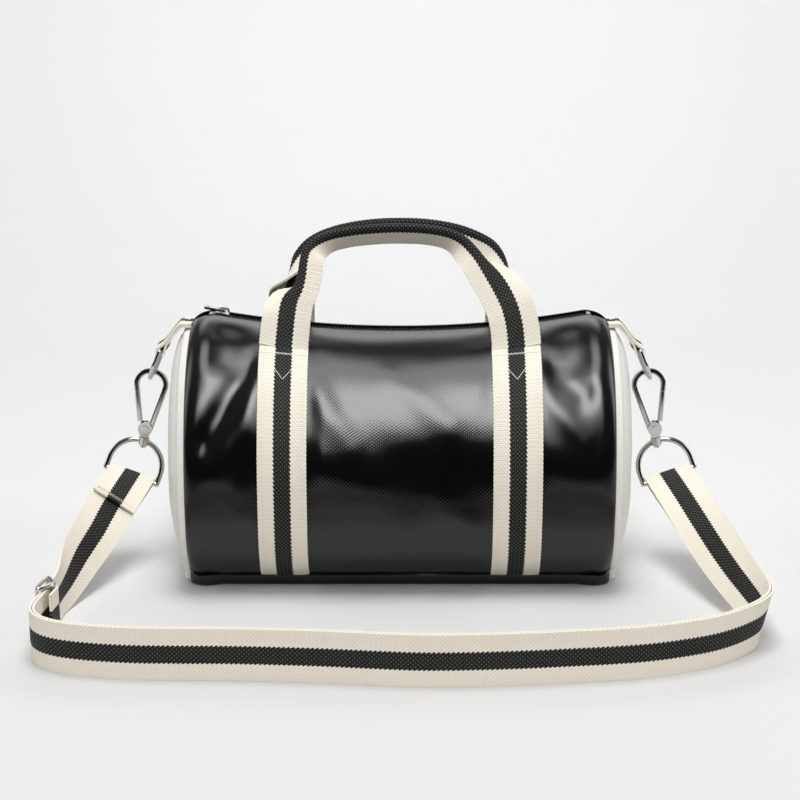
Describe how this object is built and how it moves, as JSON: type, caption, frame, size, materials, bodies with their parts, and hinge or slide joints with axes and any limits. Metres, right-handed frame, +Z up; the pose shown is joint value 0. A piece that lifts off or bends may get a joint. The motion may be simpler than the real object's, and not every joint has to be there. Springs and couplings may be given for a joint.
{
  "type": "barrel bag",
  "caption": "Small round barrel bag in glossy coated fabric with pale domed ends, striped webbing, grab handles, a top zip and a clip-on shoulder strap.",
  "frame": {"origin": "middle of the flat base, on the plane that the bag and its strap lie on", "axes": "+Z up, +X along the barrel towards its right end, -Y towards the front, where the shoulder strap lies"},
  "size_m": [0.4204, 0.2903, 0.2214],
  "materials": {
    "black_coated": "semi-gloss coated fabric",
    "black_base": "coated fabric over a board",
    "white_coated": "satin coated fabric",
    "lining": "plain weave",
    "board": "plain",
    "zip_tape": "woven tape",
    "zip_coil": "moulded coil",
    "webbing": "woven webbing, black middle stripe",
    "nickel": "bright plated",
    "spring_steel": "plain"
  },
  "bodies": {
    "bag": {"front_panel": "black_coated", "rear_panel": "black_coated", "bottom_panel": "black_base", "left_end_panel": "white_coated", "right_end_panel": "white_coated", "lining": "lining", "lining_ends": "lining", "base_board": "board", "zip_tape_front": "zip_tape", "zip_tape_rear": "zip_tape", "zip_coil_front": "zip_coil", "zip_coil_rear": "zip_coil", "zip_stops": "nickel", "front_strap_left": "webbing", "front_strap_right": "webbing", "rear_strap_left": "webbing", "rear_strap_right": "webbing", "left_tab": "webbing", "right_tab": "webbing", "tab_rivets": "nickel"},
    "zip_slider": {"zip_slider": "nickel"},
    "zip_pull": {"zip_pull": "nickel"},
    "front_handle": {"front_handle": "webbing"},
    "rear_handle": {"rear_handle": "webbing"},
    "left_ring": {"left_ring": "nickel"},
    "right_ring": {"right_ring": "nickel"},
    "shoulder_strap": {"shoulder_webbing": "webbing", "strap_slider": "nickel", "left_d_loop": "nickel", "right_d_loop": "nickel"},
    "left_hook": {"left_hook": "nickel", "left_gate_rivet": "nickel", "left_gate_spring": "spring_steel"},
    "left_gate": {"left_gate": "nickel"},
    "right_hook": {"right_hook": "nickel", "right_gate_rivet": "nickel", "right_gate_spring": "spring_steel"},
    "right_gate": {"right_gate": "nickel"}
  },
  "joints": [
    {"name": "zip_slide", "type": "hinge", "parent": "bag", "child": "zip_slider", "pos_m": [0, 0, 0.8178], "axis": [0, -1, 0], "range_deg": [0, 19.48]},
    {"name": "zip_pull_swing", "type": "hinge", "parent": "zip_slider", "child": "zip_pull", "pos_m": [-0.11133, 0, 0.16208], "axis": [0, 1, 0], "range_deg": [0, 150]},
    {"name": "front_handle_swing", "type": "hinge", "parent": "bag", "child": "front_handle", "pos_m": [0, -0.03496, 0.14742], "axis": [1, 0, 0], "range_deg": [-10, 125]},
    {"name": "rear_handle_swing", "type": "hinge", "parent": "bag", "child": "rear_handle", "pos_m": [0, 0.03496, 0.14742], "axis": [-1, 0, 0], "range_deg": [-10, 125]},
    {"name": "left_ring_swing", "type": "hinge", "parent": "bag", "child": "left_ring", "pos_m": [-0.15182, 0, 0.1384], "axis": [0, 1, 0], "range_deg": [-3, 1.5]},
    {"name": "right_ring_swing", "type": "hinge", "parent": "bag", "child": "right_ring", "pos_m": [0.15182, 0, 0.1384], "axis": [0, -1, 0], "range_deg": [-3, 1.5]},
    {"name": "strap_swing", "type": "hinge", "parent": "bag", "child": "shoulder_strap", "pos_m": [0, 0, 0.12256], "axis": [-1, 0, 0], "range_deg": [0, 95]},
    {"name": "left_hook_swivel", "type": "hinge", "parent": "shoulder_strap", "child": "left_hook", "pos_m": [-0.15846, 0, 0.12256], "axis": [-0.165, 0, -0.9863], "range_deg": [-8, 8]},
    {"name": "right_hook_swivel", "type": "hinge", "parent": "shoulder_strap", "child": "right_hook", "pos_m": [0.15846, 0, 0.12256], "axis": [0.165, 0, -0.9863], "range_deg": [-8, 8]},
    {"name": "left_gate_open", "type": "hinge", "parent": "left_hook", "child": "left_gate", "pos_m": [-0.16485, 0, 0.08434], "axis": [0, 1, 0], "range_deg": [0, 15], "stiffness_Nm_per_rad": 0.05},
    {"name": "right_gate_open", "type": "hinge", "parent": "right_hook", "child": "right_gate", "pos_m": [0.16485, 0, 0.08434], "axis": [0, -1, 0], "range_deg": [0, 15], "stiffness_Nm_per_rad": 0.05}
  ]
}
